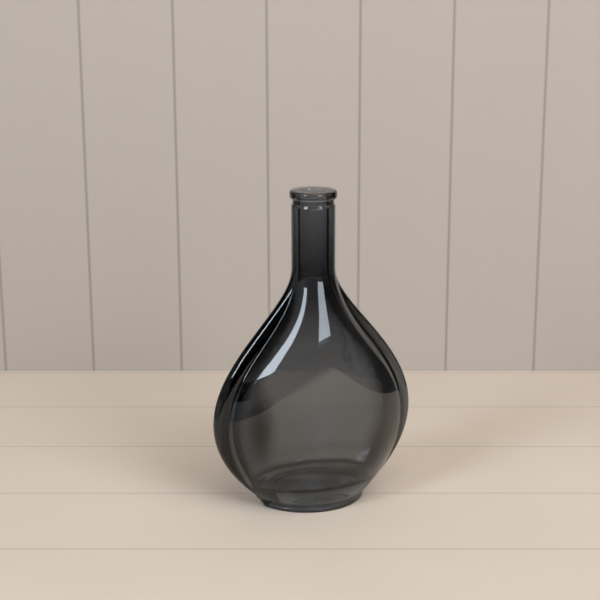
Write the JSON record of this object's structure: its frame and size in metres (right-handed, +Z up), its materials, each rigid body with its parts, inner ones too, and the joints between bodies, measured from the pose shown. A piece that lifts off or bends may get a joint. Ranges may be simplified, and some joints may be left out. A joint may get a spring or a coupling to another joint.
{
  "type": "bud vase",
  "caption": "Flattened teardrop glass bud vase with a straight neck, a grooved lip, a strap down each side and a low lens-shaped foot.",
  "frame": {"origin": "middle of the foot's bearing face, on the table", "axes": "+Z up the neck, X the wide way across both straps, front panel faces -Y"},
  "size_m": [0.1196, 0.0572, 0.18],
  "materials": {
    "smoke_glass": "clear smoke-grey moulded glass, fire-polished"
  },
  "bodies": {
    "root": {"lip_ring": "smoke_glass", "neck_groove": "smoke_glass", "neck_tube": "smoke_glass", "front_panel": "smoke_glass", "back_panel": "smoke_glass", "left_side_strap": "smoke_glass", "right_side_strap": "smoke_glass", "base_slab": "smoke_glass", "foot_ring": "smoke_glass", "base_stipples": "smoke_glass"}
  },
  "joints": []
}
